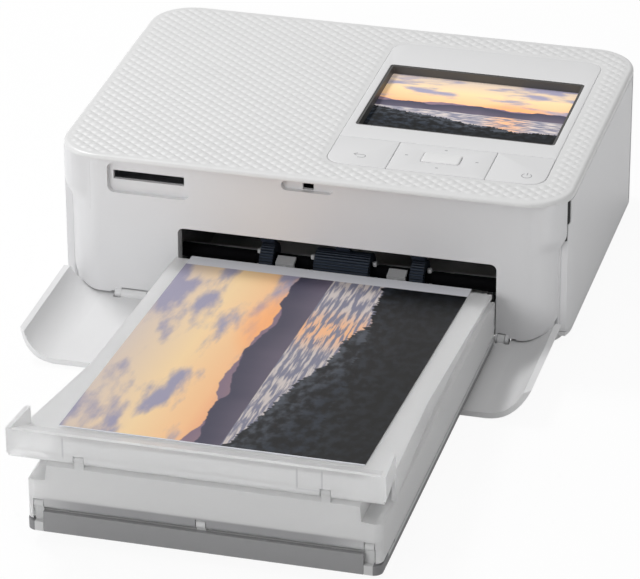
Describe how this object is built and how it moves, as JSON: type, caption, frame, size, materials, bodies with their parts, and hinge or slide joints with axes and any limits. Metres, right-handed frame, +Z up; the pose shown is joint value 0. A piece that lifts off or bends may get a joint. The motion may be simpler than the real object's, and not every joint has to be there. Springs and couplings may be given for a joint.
{
  "type": "compact photo printer",
  "caption": "Compact dye-sublimation photo printer with a hinged front cover folded open, a paper cassette in its mouth and a finished print on the cassette's lid",
  "frame": {"origin": "centre of the whole object's footprint, on the surface it stands on", "axes": "+Z up, +X to the right of someone facing the printer's front, +Y to the printer's back"},
  "size_m": [0.1822, 0.295, 0.0577],
  "materials": {
    "case_white": "fine relief grain on top, satin sides",
    "panel_white": "smooth satin",
    "key_white": "smooth satin",
    "front_white": "satin",
    "base_grey": "matt",
    "foot_rubber": "matt",
    "bezel_dark": "glossy",
    "display_face": "glossy display face",
    "pin_steel": "drawn",
    "chassis_steel": "zinc-plated sheet",
    "guide_plastic": "satin",
    "shaft_steel": "ground",
    "tyre_rubber": "matt",
    "roller_dark": "matt",
    "wheel_white": "satin",
    "gear_plastic": "satin",
    "pinion_brass": "cut",
    "motor_steel": "plated can",
    "head_aluminium": "extruded",
    "ribbon_plastic": "satin",
    "spool_brown": "wound film",
    "ribbon_film": "glossy film",
    "board_green": "solder mask",
    "reader_steel": "plated",
    "inlet_black": "moulded",
    "tray_grey": "translucent grey",
    "bar_grey": "satin",
    "frosted_clear": "frosted translucent",
    "paper_white": "coated photo paper",
    "print_face": "glossy colour print"
  },
  "bodies": {
    "printer": {"base_plate": "base_grey", "rubber_feet": "foot_rubber", "case_shell": "case_white", "top_cover": "case_white", "control_panel": "panel_white", "display_bezel": "bezel_dark", "display_module": "display_face", "front_panel": "front_white", "cover_hinge_pins": "pin_steel", "door_hinge_pin": "pin_steel", "left_frame": "chassis_steel", "right_frame": "chassis_steel", "cross_tie": "chassis_steel", "exit_guides": "guide_plastic", "feed_motor": "motor_steel", "motor_bracket": "chassis_steel", "head_shaft": "shaft_steel", "head_spring": "pin_steel", "ribbon_cassette": "ribbon_plastic", "ribbon_film": "ribbon_film", "main_board": "board_green", "card_reader": "reader_steel", "key_board": "board_green", "power_inlet": "inlet_black", "case_screws": "pin_steel"},
    "cassette": {"cassette_tray": "tray_grey", "cassette_bar": "bar_grey", "cassette_pin": "pin_steel", "lift_spring": "pin_steel"},
    "inner_cover": {"cassette_cover": "frosted_clear", "lid_pin": "pin_steel"},
    "output_lid": {"output_lid": "frosted_clear", "print_sheet": "print_face"},
    "lift_plate": {"lift_plate": "tray_grey", "paper_stack": "paper_white"},
    "front_cover": {"front_cover": "case_white"},
    "ribbon_door": {"ribbon_door": "case_white"},
    "menu_key": {"menu_key": "panel_white"},
    "power_key": {"power_key": "panel_white"},
    "pad_key": {"pad_key": "panel_white"},
    "ok_key": {"ok_key": "key_white"},
    "capstan": {"capstan": "shaft_steel", "capstan_gear": "gear_plastic"},
    "idler_gear": {"idler_gear": "gear_plastic"},
    "exit_roller": {"exit_shaft": "shaft_steel", "exit_tyres": "tyre_rubber", "exit_gear": "gear_plastic"},
    "drive_gear": {"drive_gear": "gear_plastic"},
    "motor_pinion": {"motor_pinion": "pinion_brass"},
    "exit_wheels": {"exit_pinch_wheels": "wheel_white"},
    "pinch_roller": {"pinch_roller": "roller_dark"},
    "platen_roller": {"platen_roller": "tyre_rubber"},
    "supply_spool": {"supply_spool": "spool_brown"},
    "takeup_spool": {"takeup_spool": "spool_brown"},
    "print_head": {"head_arm": "chassis_steel", "thermal_head": "head_aluminium"}
  },
  "joints": [
    {"name": "cassette_slide", "type": "slide", "parent": "printer", "child": "cassette", "axis": [0, -1, 0], "range_m": [0, 0.034]},
    {"name": "inner_cover_hinge", "type": "hinge", "parent": "cassette", "child": "inner_cover", "pos_m": [0.0102, -0.1452, 0.0137], "axis": [1, 0, 0], "range_deg": [0, 90]},
    {"name": "output_lid_hinge", "type": "hinge", "parent": "inner_cover", "child": "output_lid", "pos_m": [0.0102, -0.1459, 0.03147], "axis": [1, 0, 0], "range_deg": [0, 85]},
    {"name": "lift_plate_hinge", "type": "hinge", "parent": "cassette", "child": "lift_plate", "pos_m": [0.0102, -0.1305, 0.0081], "axis": [1, 0, 0], "range_deg": [-0.6, 0], "stiffness_Nm_per_rad": 5, "springref_deg": 1.72},
    {"name": "front_cover_hinge", "type": "hinge", "parent": "printer", "child": "front_cover", "pos_m": [0, 0.0169, 0.0032], "axis": [1, 0, 0], "range_deg": [-1.4, 0]},
    {"name": "ribbon_door_hinge", "type": "hinge", "parent": "printer", "child": "ribbon_door", "pos_m": [0.0889, 0.1305, 0], "axis": [0, 0, 1], "range_deg": [0, 92]},
    {"name": "menu_key_press", "type": "hinge", "parent": "printer", "child": "menu_key", "pos_m": [0.013, 0.0513, 0.056], "axis": [1, 0, 0], "range_deg": [0, 1.3], "stiffness_Nm_per_rad": 0.5, "springref_deg": -1.15},
    {"name": "power_key_press", "type": "hinge", "parent": "printer", "child": "power_key", "pos_m": [0.07, 0.0513, 0.056], "axis": [1, 0, 0], "range_deg": [0, 1.3], "stiffness_Nm_per_rad": 0.5, "springref_deg": -1.15},
    {"name": "pad_key_rock", "type": "hinge", "parent": "printer", "child": "pad_key", "pos_m": [0.042, 0.0404, 0.056], "axis": [0, 1, 0], "range_deg": [-1.2, 1.2], "stiffness_Nm_per_rad": 0.5},
    {"name": "ok_key_press", "type": "slide", "parent": "printer", "child": "ok_key", "axis": [0, 0, -1], "range_m": [0, 0.0005], "stiffness_N_per_m": 1000, "springref_m": -0.0005},
    {"name": "capstan_spin", "type": "hinge", "parent": "printer", "child": "capstan", "pos_m": [0.0102, 0.0485, 0.0196], "axis": [1, 0, 0], "continuous": true},
    {"name": "idler_spin", "type": "hinge", "parent": "printer", "child": "idler_gear", "pos_m": [0.0102, 0.03987, 0.02811], "axis": [1, 0, 0], "continuous": true},
    {"name": "exit_roller_spin", "type": "hinge", "parent": "printer", "child": "exit_roller", "pos_m": [0.0102, 0.029, 0.0176], "axis": [1, 0, 0], "continuous": true},
    {"name": "drive_gear_spin", "type": "hinge", "parent": "printer", "child": "drive_gear", "pos_m": [0.0102, 0.0582, 0.02313], "axis": [1, 0, 0], "continuous": true},
    {"name": "motor_spin", "type": "hinge", "parent": "printer", "child": "motor_pinion", "pos_m": [0.0102, 0.07454, 0.01875], "axis": [1, 0, 0], "continuous": true},
    {"name": "exit_wheels_spin", "type": "hinge", "parent": "printer", "child": "exit_wheels", "pos_m": [0.0102, 0.029, 0.02695], "axis": [1, 0, 0], "continuous": true},
    {"name": "pinch_roller_spin", "type": "hinge", "parent": "printer", "child": "pinch_roller", "pos_m": [0.0102, 0.0485, 0.02745], "axis": [1, 0, 0], "continuous": true},
    {"name": "platen_roller_spin", "type": "hinge", "parent": "printer", "child": "platen_roller", "pos_m": [0.0102, 0.0875, 0.0164], "axis": [1, 0, 0], "continuous": true},
    {"name": "supply_spool_spin", "type": "hinge", "parent": "printer", "child": "supply_spool", "pos_m": [0.0102, 0.0675, 0.036], "axis": [1, 0, 0], "continuous": true},
    {"name": "takeup_spool_spin", "type": "hinge", "parent": "printer", "child": "takeup_spool", "pos_m": [0.0102, 0.1075, 0.036], "axis": [1, 0, 0], "continuous": true},
    {"name": "head_lift", "type": "hinge", "parent": "printer", "child": "print_head", "pos_m": [0.0102, 0.1225, 0.0442], "axis": [1, 0, 0], "range_deg": [-2, 0]}
  ],
  "couplings": [
    {"joint": "idler_spin", "follows": "capstan_spin", "ratio": -1},
    {"joint": "exit_roller_spin", "follows": "capstan_spin", "ratio": 0.66667},
    {"joint": "drive_gear_spin", "follows": "capstan_spin", "ratio": -1.4286},
    {"joint": "motor_spin", "follows": "capstan_spin", "ratio": 5.2381}
  ]
}
